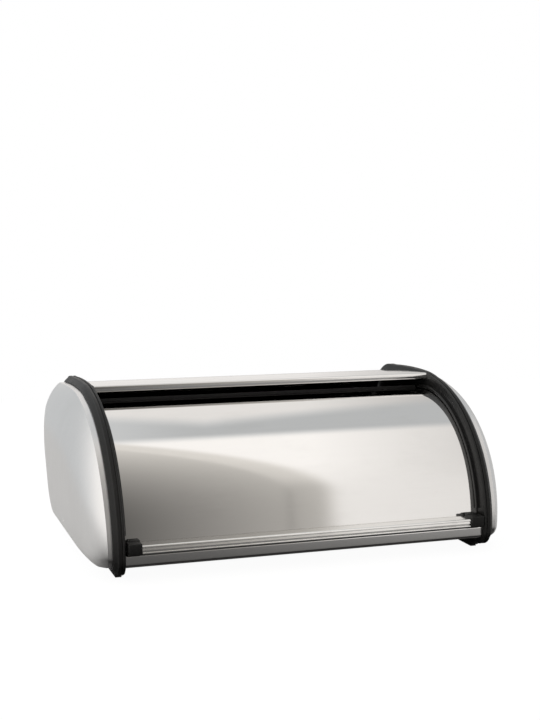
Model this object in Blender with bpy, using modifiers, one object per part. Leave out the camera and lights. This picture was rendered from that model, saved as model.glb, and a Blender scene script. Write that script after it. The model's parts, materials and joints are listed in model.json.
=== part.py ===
"""Bread box with a roll top: a stainless body and lid between two black side frames.

Metres, +Z up, front towards -Y. The origin is on the table, under the middle of the box.
The lid is one curved sheet that turns about a line along X, the axis of its own curve, and
slides back under the top in grooves that the two side frames hold.
"""

import math

import bmesh
import bpy
from mathutils import Matrix

NAME = "roll_top_bread_box"

# --- driving dimensions -------------------------------------------------------------------

AXIS_Y = 0.0005          # line that the lid turns about, along X
AXIS_Z = 0.0215

FRAME_IN = 0.1826        # inner and outer face of a side frame's rim, from the middle
FRAME_OUT = 0.1900
SKIRT_OUT = 0.1940       # outer edge of the sloping skirt round the end cap
WEB_OUT = 0.1858         # outer face of the frame's flat web
SKIRT_INSET = 0.0065
RIM_INSET = 0.0040
OPEN_INSET = 0.0330      # from the rim to the opening in the frame
OPEN_BOTTOM = 0.0130

ARC_Y = 0.0143           # middle of the rim's front curve, from the axis
ARC_DEPTH = 0.1564       # its half axes
ARC_HEIGHT = 0.1435
BACK_Y = 0.1435          # back of the rim, from the axis
BOTTOM_Z = -0.0155       # underside of the rim, from the axis
FRONT_RADIUS = 0.0150    # corner radii of the rim
TOP_RADIUS = 0.0420
BACK_RADIUS = 0.0480
RISE = 0.0022            # the rim's flat top rises by this much
RISE_Y = 0.0400          # most of all here, and no longer this far from it
RISE_SPAN = 0.0550

CAP_INSET = 0.0068
CAP_IN = 0.1862          # inner face of the cap's flange
CAP_BULGE = 0.0322
CAP_SLOPE = 0.0650       # how far the cap's edge curves in before it is flat
CAP_START = 0.0030       # the curve starts this far in, hidden by the skirt
CAP_FIRST = 0.058        # and at this share of the slope
CAP_POWER = 1.78
CAP_BOTTOM = 0.31        # share of that slope along the bottom
CAP_SOFTEN = 0.30        # corners grow rounder by this share of the inset
CAP_LEAN = 0.28          # the cap bulges more towards its top
CAP_ROUNDS = 9
CAP_WALL = 0.0010

LID_RADIUS = 0.1268      # outer face of the lid
LID_WALL = 0.0010
LID_HALF = 0.1820
LID_START = 2.6          # degrees up from the front
LID_END = 101.0
TRACK_GAP = 0.0008       # play between the lid and the groove
TRACK_RIB = 0.0032
TRACK_REACH = 0.0030     # how far the ribs stand in over the lid's edge
TRACK_START = 9.5
TRACK_END = 177.0

SHEET = 0.0010
BODY_HALF = 0.1823
LIP_Y = -0.1370          # front lip of the body, from the axis
LIP_TOP = 0.0045
FLOOR_Z = -0.0072
BODY_BACK = 0.1362
BODY_TOP = 0.1363        # the top starts at this height behind
CROWN = 0.1438           # and rises to this height at its front edge
HEM_Y = 0.0010           # front edge of the body's top, above the lid
HEM_DROP = 0.0050
LIP_FLANGE = 0.0062      # the lip is turned in by this much
LIP_BEND = 0.0015        # bend radii of the sheet
FRONT_BEND = 0.0030
REAR_BEND = 0.0300
TOP_BEND = 0.0360
HEM_BEND = 0.0020

RAIL_HALF = 0.1672
RAIL_FRONT = -0.1425
RAIL_LOW = 0.0055
RAIL_HIGH = 0.0142
END_IN = 0.1676          # end piece of the rail
END_OUT = 0.1808
END_FRONT = -0.1445
END_BACK = -0.1316
END_TOP = 0.0168
TAB_OUT = 0.1780         # tab of the end piece, which lies on the lid
TAB_LOW = 0.0105
TAB_TOP = 0.0176

STRIP_START = 97.6       # plastic strip on the lid's rear edge, degrees up from the front
STRIP_END = 100.8
STRIP_HEIGHT = 0.0032
STRIP_HALF = 0.1774
GLIDE_HEIGHT = 0.0022
GLIDE_WIDTH = 0.0125

SOLE_IN = 0.1806         # a foot's sole stands under the rim
SHELF_IN = 0.1750        # and a thin shelf reaches in under the body's floor
SHELF_LOW = -0.0122
RIVET_IN = 0.1782
FOOT_LOW = -0.0200
FOOT_LENGTH = 0.0360
FOOT_CENTRES = (-0.1010, 0.0960)
PAD_LOW = -0.0215
PAD_IN = 0.1820
PAD_OUT = 0.1878
PAD_LENGTH = 0.0280

SCREW_INSET = 0.0275     # line round the side on which the cap's screws sit
SCREW_BOTTOM = 0.0075
SCREW_PLACES = (4, 12, 24, 30)   # points of that line
SHANK = 0.0013           # radius of a screw's or a rivet's shank
RIVET_LENGTH = 0.0040
GAP = 0.0003

OUTLINE_POINTS = 17      # points on the rim's front curve; its corners have half as many
TOP_POINTS = 4           # points between the curve and the corner behind it
CROWN_POINTS = 6

SIDES = (("left", -1.0), ("right", 1.0))

# --- colours: base colour, roughness, metallic ---------------------------------------------

FINISHES = {
    "polished_steel": ((0.78, 0.77, 0.75), 0.12, 1.0),
    "satin_steel": ((0.72, 0.72, 0.71), 0.32, 1.0),
    "black_plastic": ((0.018, 0.018, 0.018), 0.38, 0.0),
    "anodised_aluminium": ((0.80, 0.79, 0.77), 0.28, 1.0),
    "black_rubber": ((0.025, 0.025, 0.025), 0.80, 0.0),
    "zinc_steel": ((0.62, 0.62, 0.60), 0.35, 1.0),
}


def clear_scene():
    for thing in list(bpy.data.objects):
        bpy.data.objects.remove(thing, do_unlink=True)


def new_collection(name):
    group = bpy.data.collections.new(name)
    bpy.context.scene.collection.children.link(group)
    return group


def finish(node, finish_name):
    """Give a part its own Principled material."""
    colour, roughness, metallic = FINISHES[finish_name]
    skin = bpy.data.materials.new(node.name + "_" + finish_name)
    skin.use_nodes = True
    shader = skin.node_tree.nodes["Principled BSDF"]
    shader.inputs["Base Color"].default_value = (*colour, 1.0)
    shader.inputs["Roughness"].default_value = roughness
    shader.inputs["Metallic"].default_value = metallic
    node.data.materials.append(skin)


def add_part(name, shape, finish_name, parent=None, smooth_angle=35.0):
    """Link a bmesh, drawn about the lid's axis, as one named part."""
    mesh = bpy.data.meshes.new(name)
    bmesh.ops.recalc_face_normals(shape, faces=shape.faces)
    shape.to_mesh(mesh)
    shape.free()
    mesh.shade_smooth()
    mesh.set_sharp_from_angle(angle=math.radians(smooth_angle))
    node = bpy.data.objects.new(name, mesh)
    node.location = (0.0, AXIS_Y, AXIS_Z)
    PARTS.objects.link(node)
    if parent is not None:
        node.location = (0.0, 0.0, 0.0)
        node.parent = parent
    finish(node, finish_name)
    return node


def add_cutter(name, shape):
    """Link a bmesh as a hidden cutting or joining shape."""
    mesh = bpy.data.meshes.new(name)
    bmesh.ops.recalc_face_normals(shape, faces=shape.faces)
    shape.to_mesh(mesh)
    shape.free()
    tool = bpy.data.objects.new(name, mesh)
    tool.location = (0.0, AXIS_Y, AXIS_Z)
    tool.display_type = "WIRE"
    tool.hide_render = True
    CUTTERS.objects.link(tool)
    return tool


def boolean(node, tool, operation):
    step = node.modifiers.new(operation.lower() + "_" + tool.name, "BOOLEAN")
    step.operation = operation
    step.solver = "EXACT"
    step.object = tool


# --- outlines, as (y, z) pairs from the lid's axis -------------------------------------------

def arc(middle_y, middle_z, radius, start, end, count):
    """Points on a circle; angles in degrees, 0 towards +Y and 90 up."""
    turns = [math.radians(start + (end - start) * i / (count - 1)) for i in range(count)]
    return [(middle_y + radius * math.cos(t), middle_z + radius * math.sin(t)) for t in turns]


def top_rise(y, level):
    """How much the rim's top rises at y; level is 1 at the top and the rise fades below it."""
    shape = 1.0 - ((y - RISE_Y) / RISE_SPAN) ** 2
    return RISE * max(shape, 0.0) * max(level, 0.0) ** 8


def side_outline(inset=0.0, bottom=0.0, soften=0.0):
    """The D-shaped side, drawn in by inset and along its underside by bottom; soften rounds it."""
    low = BOTTOM_Z + bottom
    depth = ARC_DEPTH - inset
    height = ARC_HEIGHT - inset
    corner = max(FRONT_RADIUS - 0.5 * inset, 0.004) + 1.5 * soften
    top_corner = max(TOP_RADIUS - inset, 0.012) + soften
    back_corner = max(BACK_RADIUS - inset, 0.012) + soften
    back = BACK_Y - inset
    start = math.asin((low + corner) / height)
    half = OUTLINE_POINTS // 2

    points = []
    for i in range(OUTLINE_POINTS):
        turn = start + (math.pi / 2 - start) * i / (OUTLINE_POINTS - 1)
        points.append((ARC_Y - depth * math.cos(turn), height * math.sin(turn)))
    top_start, top_end = points[-1][0], back - top_corner
    for i in range(1, TOP_POINTS + 1):
        points.append((top_start + (top_end - top_start) * i / (TOP_POINTS + 1), height))
    points += arc(top_end, height - top_corner, top_corner, 90, 0, half)
    points += arc(back - back_corner, low + back_corner, back_corner, 0, -90, half)
    front = points[0][0]
    points += arc(front + corner, low + corner, corner, -90, -180, half)[:-1]
    return [(y, z + top_rise(y, z / height)) for y, z in points]


def loft(sections, closed):
    """Skin outlines that stand at the given x, point to point, and close the section if asked."""
    shape = bmesh.new()
    rings = [[shape.verts.new((x, y, z)) for y, z in outline] for outline, x in sections]
    pairs = list(zip(rings, rings[1:]))
    if closed:
        pairs.append((rings[-1], rings[0]))
    for first, second in pairs:
        count = len(first)
        for i in range(count):
            j = (i + 1) % count
            shape.faces.new((first[i], first[j], second[j], second[i]))
    return shape, rings


def plank(outline, x0, x1):
    """A flat outline pushed along X into a solid."""
    shape = bmesh.new()
    face = shape.faces.new([shape.verts.new((x0, y, z)) for y, z in outline])
    grown = bmesh.ops.extrude_face_region(shape, geom=[face])
    moved = [item for item in grown["geom"] if isinstance(item, bmesh.types.BMVert)]
    bmesh.ops.translate(shape, verts=moved, vec=(x1 - x0, 0.0, 0.0))
    return shape


def band(inner, outer, start, end, x0, x1, count):
    """A curved rib between two radii about the axis; degrees up from the front."""
    outside = arc(0.0, 0.0, outer, 180.0 - start, 180.0 - end, count)
    inside = arc(0.0, 0.0, inner, 180.0 - end, 180.0 - start, count)
    return plank(outside + inside, x0, x1)


def rounded_box(x0, x1, y0, y1, z0, z1, radius, segments=2):
    shape = bmesh.new()
    bmesh.ops.create_cube(shape, size=1.0)
    bmesh.ops.scale(shape, vec=(x1 - x0, y1 - y0, z1 - z0), verts=shape.verts)
    bmesh.ops.translate(shape, vec=((x0 + x1) / 2, (y0 + y1) / 2, (z0 + z1) / 2), verts=shape.verts)
    if radius > 0.0:
        bmesh.ops.bevel(shape, geom=list(shape.edges), offset=radius, segments=segments,
                        profile=0.5, affect="EDGES", clamp_overlap=True)
    return shape


def turned(profile, steps=16):
    """Turn (radius, height) pairs about the local Z axis; the profile starts and ends on it."""
    shape = bmesh.new()
    corners = [shape.verts.new((radius, 0.0, height)) for radius, height in profile]
    edges = [shape.edges.new(pair) for pair in zip(corners, corners[1:])]
    bmesh.ops.spin(shape, geom=corners + edges, cent=(0, 0, 0), axis=(0, 0, 1),
                   angle=math.tau, steps=steps, use_merge=True)
    bmesh.ops.remove_doubles(shape, verts=shape.verts, dist=0.00001)
    return shape


# --- the standing parts ----------------------------------------------------------------------

def body_path():
    """Middle line of the body sheet, from the lip's flange round to the top's front edge."""
    path = [(LIP_Y + LIP_FLANGE, LIP_TOP)]
    path += arc(LIP_Y + LIP_BEND, LIP_TOP - LIP_BEND, LIP_BEND, 90, 180, 4)
    path += arc(LIP_Y + FRONT_BEND, FLOOR_Z + FRONT_BEND, FRONT_BEND, 180, 270, 5)
    path += arc(BODY_BACK - REAR_BEND, FLOOR_Z + REAR_BEND, REAR_BEND, -90, 0, 9)
    path += arc(BODY_BACK - TOP_BEND, BODY_TOP - TOP_BEND, TOP_BEND, 0, 90, 10)
    top_back, top_front = BODY_BACK - TOP_BEND, HEM_Y + HEM_BEND
    for i in range(1, CROWN_POINTS):
        share = i / CROWN_POINTS
        rise = (CROWN - BODY_TOP) * math.sin(share * math.pi / 2)
        path.append((top_back + (top_front - top_back) * share, BODY_TOP + rise))
    path += arc(top_front, CROWN - HEM_BEND, HEM_BEND, 90, 180, 5)
    path += [(HEM_Y, CROWN - HEM_DROP)]
    return path


def make_body():
    """Front lip, floor, back and top, bent from one sheet."""
    shape = bmesh.new()
    corners = [shape.verts.new((-BODY_HALF, y, z)) for y, z in body_path()]
    edges = [shape.edges.new(pair) for pair in zip(corners, corners[1:])]
    grown = bmesh.ops.extrude_edge_only(shape, edges=edges)
    moved = [item for item in grown["geom"] if isinstance(item, bmesh.types.BMVert)]
    bmesh.ops.translate(shape, verts=moved, vec=(2 * BODY_HALF, 0.0, 0.0))
    body = add_part("body_sheet", shape, "polished_steel")
    wall = body.modifiers.new("sheet", "SOLIDIFY")
    wall.thickness = SHEET
    wall.offset = 0.0
    wall.use_even_offset = True
    return body


def make_frame(side, sign):
    """Rim, skirt, web, two grooves' ribs and two feet, moulded as one piece."""
    rim = side_outline()
    skirt = side_outline(SKIRT_INSET, SKIRT_INSET)
    opening = side_outline(OPEN_INSET, OPEN_BOTTOM)
    section = [
        (rim, FRAME_IN),
        (rim, FRAME_OUT - 0.0010),
        (side_outline(0.0010, 0.0010), FRAME_OUT),
        (side_outline(RIM_INSET, RIM_INSET), SKIRT_OUT),
        (skirt, SKIRT_OUT),
        (skirt, WEB_OUT),
        (opening, WEB_OUT),
        (opening, FRAME_IN),
    ]
    shape, _ = loft([(line, sign * x) for line, x in section], closed=True)
    frame = add_part(side + "_side_frame", shape, "black_plastic")

    rib_in = sign * (FRAME_IN - TRACK_REACH)
    rib_out = sign * (FRAME_IN + 0.0010)
    upper = (LID_RADIUS + TRACK_GAP, LID_RADIUS + TRACK_GAP + TRACK_RIB)
    lower = (LID_RADIUS - LID_WALL - TRACK_GAP - TRACK_RIB, LID_RADIUS - LID_WALL - TRACK_GAP)
    for label, (inner, outer) in (("upper", upper), ("lower", lower)):
        rib = band(inner, outer, TRACK_START, TRACK_END, rib_in, rib_out, 33)
        boolean(frame, add_cutter(f"{side}_{label}_rib", rib), "UNION")

    for place, centre in zip(("front", "rear"), FOOT_CENTRES):
        along = (centre - FOOT_LENGTH / 2, centre + FOOT_LENGTH / 2)
        sole = rounded_box(*sorted((sign * SOLE_IN, sign * (FRAME_OUT - 0.0005))), *along,
                           FOOT_LOW, BOTTOM_Z + 0.0035, 0.0022)
        boolean(frame, add_cutter(f"{side}_{place}_foot_sole", sole), "UNION")
        shelf = rounded_box(*sorted((sign * SHELF_IN, sign * (WEB_OUT - 0.0004))), *along,
                            SHELF_LOW, FLOOR_Z - SHEET / 2 - GAP, 0.0010)
        boolean(frame, add_cutter(f"{side}_{place}_foot_shelf", shelf), "UNION")
    return frame


def cap_sections():
    """Outlines of an end cap from its flange to its flat face, each with its distance in x."""
    inner = side_outline(OPEN_INSET - 0.0005, OPEN_BOTTOM - 0.0005)
    sections = [(inner, CAP_IN), (side_outline(CAP_INSET, CAP_INSET), CAP_IN)]
    for i in range(CAP_ROUNDS):
        part = 1.0 - math.cos(math.pi / 2 * i / (CAP_ROUNDS - 1))
        share = CAP_FIRST + (1.0 - CAP_FIRST) * part
        rise = CAP_BULGE * (1.0 - (1.0 - share) ** CAP_POWER) ** (1.0 / CAP_POWER)
        inset = CAP_START + CAP_SLOPE * share
        bottom = max(CAP_INSET, CAP_START + CAP_BOTTOM * CAP_SLOPE * share)
        outline = side_outline(inset, bottom, CAP_SOFTEN * max(inset - CAP_INSET, 0.0))
        sections.append((outline, FRAME_OUT + rise))
    return sections


def make_cap(side, sign):
    """A pressed dome with a flange turned in behind the frame's web."""
    sections = [(line, sign * x) for line, x in cap_sections()]
    shape, rings = loft(sections, closed=False)
    shape.faces.new(rings[-1])
    middle = (ARC_HEIGHT + BOTTOM_Z) / 2
    for corner in shape.verts:
        bulge = abs(corner.co.x) - FRAME_OUT
        if bulge > 0.0:
            lean = CAP_LEAN * (corner.co.z - middle) / (ARC_HEIGHT - BOTTOM_Z)
            corner.co.x = sign * (FRAME_OUT + bulge * (1.0 + lean))
    cap = add_part(side + "_end_cap", shape, "satin_steel")
    wall = cap.modifiers.new("sheet", "SOLIDIFY")
    wall.thickness = CAP_WALL
    wall.offset = -1.0
    wall.use_even_offset = True
    return cap


def along_x(shape, sign, x, y, z):
    """Turn a piece made on +Z to face inwards along X, and put it in place."""
    bmesh.ops.rotate(shape, verts=shape.verts, cent=(0, 0, 0),
                     matrix=Matrix.Rotation(-sign * math.pi / 2, 3, "Y"))
    bmesh.ops.translate(shape, verts=shape.verts, vec=(sign * x, y, z))


def screw(length):
    """Pan-head screw on +Z, with the seat of its head at GAP; length is that of its shank."""
    return turned([(0.0, 0.0020), (0.0016, 0.0019), (0.0028, 0.0013), (0.0032, GAP),
                   (SHANK, GAP), (SHANK, 0.0008 - length), (0.0, -length)])


def clearance_hole(depth):
    shape = bmesh.new()
    bmesh.ops.create_cone(shape, cap_ends=True, segments=16, radius1=SHANK + 0.0004,
                          radius2=SHANK + 0.0004, depth=depth)
    return shape


def make_cap_screws(side, sign, frame, cap):
    """Four pan-head screws a side, through the frame's web and into the cap's flange."""
    line = side_outline(SCREW_INSET, SCREW_BOTTOM)
    for number, place in enumerate(SCREW_PLACES, start=1):
        y, z = line[place]
        shape = screw(0.0076)
        along_x(shape, sign, FRAME_IN, y, z)
        add_part(f"{side}_cap_screw_{number}", shape, "zinc_steel")

        hole = clearance_hole(0.0120)
        along_x(hole, sign, FRAME_IN + 0.0030, y, z)
        tool = add_cutter(f"{side}_screw_hole_{number}", hole)
        boolean(frame, tool, "DIFFERENCE")
        boolean(cap, tool, "DIFFERENCE")


def make_base_rivets(side, sign, body, frame):
    """One rivet through the floor into each foot."""
    for place, centre in zip(("front", "rear"), FOOT_CENTRES):
        x = sign * RIVET_IN
        floor_top = FLOOR_Z + SHEET / 2
        shape = turned([(0.0, 0.0014), (0.0017, 0.0011), (0.0028, GAP), (SHANK, GAP),
                        (SHANK, -RIVET_LENGTH), (0.0, -RIVET_LENGTH)])
        bmesh.ops.translate(shape, verts=shape.verts, vec=(x, centre, floor_top))
        add_part(f"{side}_{place}_base_rivet", shape, "zinc_steel")

        hole = clearance_hole(0.0120)
        bmesh.ops.translate(hole, verts=hole.verts, vec=(x, centre, floor_top - 0.0020))
        tool = add_cutter(f"{side}_{place}_rivet_hole", hole)
        boolean(body, tool, "DIFFERENCE")
        boolean(frame, tool, "DIFFERENCE")


def make_foot_pads(side, sign):
    """A thin non-slip pad under each foot."""
    for place, centre in zip(("front", "rear"), FOOT_CENTRES):
        x0, x1 = sorted((sign * PAD_IN, sign * PAD_OUT))
        shape = rounded_box(x0, x1, centre - PAD_LENGTH / 2, centre + PAD_LENGTH / 2,
                            PAD_LOW, FOOT_LOW - GAP, 0.0003, 1)
        add_part(f"{side}_{place}_foot_pad", shape, "black_rubber")


# --- the lid and what rides on it --------------------------------------------------------------

def make_lid(pivot):
    """One curved sheet, from the rail at the front to its rear edge under the top."""
    shape = band(LID_RADIUS - LID_WALL, LID_RADIUS, LID_START, LID_END, -LID_HALF, LID_HALF, 41)
    return add_part("lid_sheet", shape, "polished_steel", pivot)


def make_rail(pivot):
    """Extruded bar across the lid's lower edge, which serves as its handle."""
    back = -LID_RADIUS - GAP
    outline = [(back, RAIL_LOW), (RAIL_FRONT + 0.0015, RAIL_LOW), (RAIL_FRONT, RAIL_LOW + 0.0015),
               (RAIL_FRONT, RAIL_HIGH - 0.0018), (RAIL_FRONT + 0.0018, RAIL_HIGH),
               (back, RAIL_HIGH)]
    return add_part("handle_rail", plank(outline, -RAIL_HALF, RAIL_HALF), "anodised_aluminium", pivot)


def make_rail_ends(side, sign, pivot):
    """End piece: a block over the rail's end, with a tab that lies on the lid."""
    spread = sorted((sign * END_IN, sign * END_OUT))
    block = rounded_box(*spread, END_FRONT, END_BACK, RAIL_LOW, END_TOP, 0.0012)
    end = add_part(side + "_rail_end", block, "black_plastic", pivot)
    tab = rounded_box(*sorted((sign * END_IN, sign * TAB_OUT)), END_BACK - 0.0024,
                      -LID_RADIUS - GAP, TAB_LOW, TAB_TOP, 0.0008, 1)
    boolean(end, add_cutter(side + "_rail_end_tab", tab), "UNION")


def make_glides(side, sign, pivot):
    """Slim plastic glide under each rear corner of the lid, inside the groove."""
    outer = LID_RADIUS - LID_WALL - GAP
    inner = outer - GLIDE_HEIGHT
    glide_out = FRAME_IN - TRACK_REACH - 0.0010
    x0, x1 = sorted((sign * (glide_out - GLIDE_WIDTH), sign * glide_out))
    shape = band(inner, outer, LID_END - 9.0, LID_END - 0.4, x0, x1, 6)
    add_part(side + "_lid_glide", shape, "black_plastic", pivot)


def make_rear_strip(pivot):
    """Plastic strip across the lid's rear edge, which closes the gap under the top."""
    inner = LID_RADIUS + GAP
    shape = band(inner, inner + STRIP_HEIGHT, STRIP_START, STRIP_END, -STRIP_HALF, STRIP_HALF, 4)
    add_part("rear_edge_strip", shape, "black_plastic", pivot)


def make_rail_screws(pivot, lid, rail):
    """Three screws from inside the lid into the rail."""
    height = (RAIL_LOW + RAIL_HIGH) / 2
    for name, x in (("left", -0.1400), ("middle", 0.0), ("right", 0.1400)):
        shape = screw(0.0086)
        bmesh.ops.rotate(shape, verts=shape.verts, cent=(0, 0, 0),
                         matrix=Matrix.Rotation(-math.pi / 2, 3, "X"))
        inner_face = -(LID_RADIUS - LID_WALL) + 0.0004
        bmesh.ops.translate(shape, verts=shape.verts, vec=(x, inner_face, height))
        add_part(f"{name}_rail_screw", shape, "zinc_steel", pivot)

        hole = clearance_hole(0.0140)
        bmesh.ops.rotate(hole, verts=hole.verts, cent=(0, 0, 0),
                         matrix=Matrix.Rotation(math.pi / 2, 3, "X"))
        bmesh.ops.translate(hole, verts=hole.verts, vec=(x, inner_face - 0.0022, height))
        tool = add_cutter(f"{name}_rail_screw_hole", hole)
        boolean(lid, tool, "DIFFERENCE")
        boolean(rail, tool, "DIFFERENCE")


# --- assembly ------------------------------------------------------------------------------------

clear_scene()
PARTS = new_collection(NAME)
CUTTERS = new_collection("cutters")

LID_PIVOT = bpy.data.objects.new("lid_axis", None)
LID_PIVOT.location = (0.0, AXIS_Y, AXIS_Z)
PARTS.objects.link(LID_PIVOT)

body_sheet = make_body()
lid_sheet = make_lid(LID_PIVOT)
handle_rail = make_rail(LID_PIVOT)
make_rail_screws(LID_PIVOT, lid_sheet, handle_rail)
make_rear_strip(LID_PIVOT)

for side_name, side_sign in SIDES:
    side_frame = make_frame(side_name, side_sign)
    end_cap = make_cap(side_name, side_sign)
    make_cap_screws(side_name, side_sign, side_frame, end_cap)
    make_base_rivets(side_name, side_sign, body_sheet, side_frame)
    make_foot_pads(side_name, side_sign)
    make_rail_ends(side_name, side_sign, LID_PIVOT)
    make_glides(side_name, side_sign, LID_PIVOT)
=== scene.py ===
# %% [markdown]
# # A roll-top bread box in stainless steel and black plastic
# The box is a bent sheet (lip, floor, back, top) held between two moulded side frames, with a
# pressed dome on each end. A curved lid slides back under the top when its rail is lifted.
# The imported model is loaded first: it is the fixed frame, and every piece below takes its
# place from that frame, so nothing has to be fitted by eye.

# %% Load the frame
import json
import math

import bmesh
import bpy
from mathutils import Matrix, Vector
from mathutils.bvhtree import BVHTree


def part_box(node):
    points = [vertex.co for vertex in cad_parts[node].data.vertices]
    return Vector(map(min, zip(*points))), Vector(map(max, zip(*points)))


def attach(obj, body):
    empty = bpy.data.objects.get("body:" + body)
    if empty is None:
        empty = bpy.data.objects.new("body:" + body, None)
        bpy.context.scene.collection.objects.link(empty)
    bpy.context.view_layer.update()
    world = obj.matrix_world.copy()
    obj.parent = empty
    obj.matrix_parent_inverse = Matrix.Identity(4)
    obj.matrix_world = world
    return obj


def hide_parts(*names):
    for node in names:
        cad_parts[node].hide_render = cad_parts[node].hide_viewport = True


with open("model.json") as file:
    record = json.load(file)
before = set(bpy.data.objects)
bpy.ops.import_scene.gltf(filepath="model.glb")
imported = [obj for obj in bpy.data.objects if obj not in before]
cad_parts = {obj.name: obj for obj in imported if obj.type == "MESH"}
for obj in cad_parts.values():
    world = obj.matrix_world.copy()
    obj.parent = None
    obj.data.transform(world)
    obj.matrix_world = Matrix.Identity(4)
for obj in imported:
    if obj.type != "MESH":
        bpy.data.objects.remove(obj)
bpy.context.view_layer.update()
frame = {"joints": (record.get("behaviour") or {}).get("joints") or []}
scene = bpy.context.scene

# %% [markdown]
# The lid turns about one line along X. That line is the middle of the lid's own curve, so most
# outlines of the box are easiest to draw as (y, z) pairs measured from it. The boxes of the CAD
# nodes give the rest: where the rims stand, how far the domes reach and how deep the box is.

# %% Lines that everything is measured from
roll_joint = frame["joints"][0]
_, AXIS_Y, AXIS_Z = roll_joint["pos_m"]

frame_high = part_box("right_side_frame")[1]
lid_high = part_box("lid_sheet")[1]
body_low, body_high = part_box("body_sheet")
rail_low, rail_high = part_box("handle_rail")

SKIRT_BEYOND = 0.0040                # the skirt stands this far beyond the rim
RIM_OUT = frame_high.x - SKIRT_BEYOND
RIM_WIDTH = 0.0074
RIM_IN = RIM_OUT - RIM_WIDTH
BACK_Y = frame_high.y - AXIS_Y
BOTTOM_Z = -0.0155                   # underside of the rim, from the axis
TOP_Z = 0.1435                       # its top, before the slight rise in the middle
LID_RADIUS = lid_high.z - AXIS_Z
SIDES = (("left", -1.0), ("right", 1.0))
print(f"axis y {AXIS_Y:.4f} z {AXIS_Z:.4f}, rim {RIM_IN:.4f} to {RIM_OUT:.4f}, lid radius {LID_RADIUS:.4f}")

# %% [markdown]
# ## The studio
# The steel is close to a mirror, so what it reflects is most of its look. Large soft
# panels keep it bright, and one dark panel on the left gives the lid its dark corner with a
# curved edge. The world plays all the panels. Its brightness depends only on the direction in
# which a reflection leaves, so no lamp has to be placed.

# %% A helper for node arithmetic
def feed(tree, socket, value):
    """Link the value if it is another node's socket, else set it; a colour is given without alpha."""
    if isinstance(value, bpy.types.NodeSocket):
        tree.links.new(value, socket)
    else:
        socket.default_value = (*value, 1.0) if socket.type == "RGBA" else value


def calc(tree, operation, *values):
    """One Math node; each value is a number or the socket of another node."""
    node = tree.nodes.new("ShaderNodeMath")
    node.operation = operation
    for socket, value in zip(node.inputs, values):
        feed(tree, socket, value)
    return node.outputs[0]


def step_between(tree, value, start, end, low=0.0, high=1.0):
    """A smooth step of value: low at start, high at end."""
    node = tree.nodes.new("ShaderNodeMapRange")
    node.interpolation_type = "SMOOTHSTEP"
    for name, number in (("From Min", start), ("From Max", end), ("To Min", low), ("To Max", high)):
        feed(tree, node.inputs[name], number)
    tree.links.new(value, node.inputs["Value"])
    return node.outputs[0]


def blend_values(tree, share, first, second):
    """first where share is 0, second where it is 1."""
    node = tree.nodes.new("ShaderNodeMix")
    node.data_type = "FLOAT"
    for number, value in ((0, share), (2, first), (3, second)):
        feed(tree, node.inputs[number], value)
    return node.outputs[0]


def blend_colours(tree, share, first, second):
    """The same for two colours, each a tuple or a socket."""
    node = tree.nodes.new("ShaderNodeMix")
    node.data_type = "RGBA"
    for number, value in ((0, share), (6, first), (7, second)):
        feed(tree, node.inputs[number], value)
    return node.outputs[2]


print("node helpers ready")

# %% [markdown]
# A direction is split in two: how far it leans to the side (x), and its angle in the plane
# across the box, from 0 towards the front over 90 straight up to 180 at the back. The front
# panel is bright, with a dark panel on its left whose edge falls away in a curve. A grey band
# follows that edge, and a narrow grey strip lies overhead, between front panel and ceiling.

# %% World: soft panels around the box
DARK_EDGE = 0.322        # sideways lean at which the dark panel ends
DARK_SHOULDER = 30.0     # angle at which its edge starts to curve
DARK_RUN = 44.0          # and over how many degrees it runs out to the left
EDGE_DROP = 0.084        # how far the edge falls away over that run
BAND = 0.032             # width of the grey band beside it
DARK_GREY = 0.095        # greys of the panels, from 0 black to 1 white
DARKEST = 0.050
FRONT_GREY = 0.80
CEILING_GREY = 0.73
RIGHT_GREY = 0.50
STRIP_END = 104.0        # angle at which the overhead strip ends
STEEL_SHARE = 0.86       # light that the steel gives back

world = bpy.data.worlds.new("soft_panels")
scene.world = world
world.use_nodes = True
sky = world.node_tree
sky.nodes.clear()
heading = sky.nodes.new("ShaderNodeTexCoord").outputs["Generated"]
parts_of = sky.nodes.new("ShaderNodeSeparateXYZ")
sky.links.new(heading, parts_of.inputs[0])
lean, ahead, up = parts_of.outputs


def plus(first, second):
    return calc(sky, "ADD", first, second)


def minus(first, second):
    return calc(sky, "SUBTRACT", first, second)


def times(first, second):
    return calc(sky, "MULTIPLY", first, second)


def at_least(value, least):
    return calc(sky, "MAXIMUM", value, least)


def sky_step(value, start, end, low=0.0, high=1.0):
    return step_between(sky, value, start, end, low, high)


level_or_up = at_least(up, 0.0)
turn = calc(sky, "ARCTAN2", level_or_up, times(ahead, -1.0))
angle = times(turn, 180.0 / math.pi)

share_up = calc(sky, "DIVIDE", at_least(minus(angle, DARK_SHOULDER), 0.0), DARK_RUN)
edge_drop = times(calc(sky, "POWER", share_up, 1.9), EDGE_DROP)
past_edge = minus(lean, minus(DARK_EDGE, edge_drop))
in_dark = sky_step(past_edge, BAND - 0.010, BAND + 0.009, 1.0, 0.0)
in_band = sky_step(past_edge, -0.002, 0.002)

lean_in = times(minus(lean, 0.184), 2.0)
climb = calc(sky, "POWER", calc(sky, "DIVIDE", at_least(angle, 0.0), 80.0), 2.5)
dark = plus(plus(DARK_GREY, lean_in), times(climb, 0.42))
dark = at_least(dark, DARKEST)
dark = plus(dark, times(in_band, sky_step(angle, 34.0, 50.0, 0.0, 0.12)))
dark = calc(sky, "MINIMUM", dark, 0.68)
seam = sky_step(calc(sky, "ABSOLUTE", past_edge), 0.0035, 0.0010)
seam = times(seam, sky_step(angle, 42.0, 30.0, 0.0, 0.10))
dark = minus(dark, seam)

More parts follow.
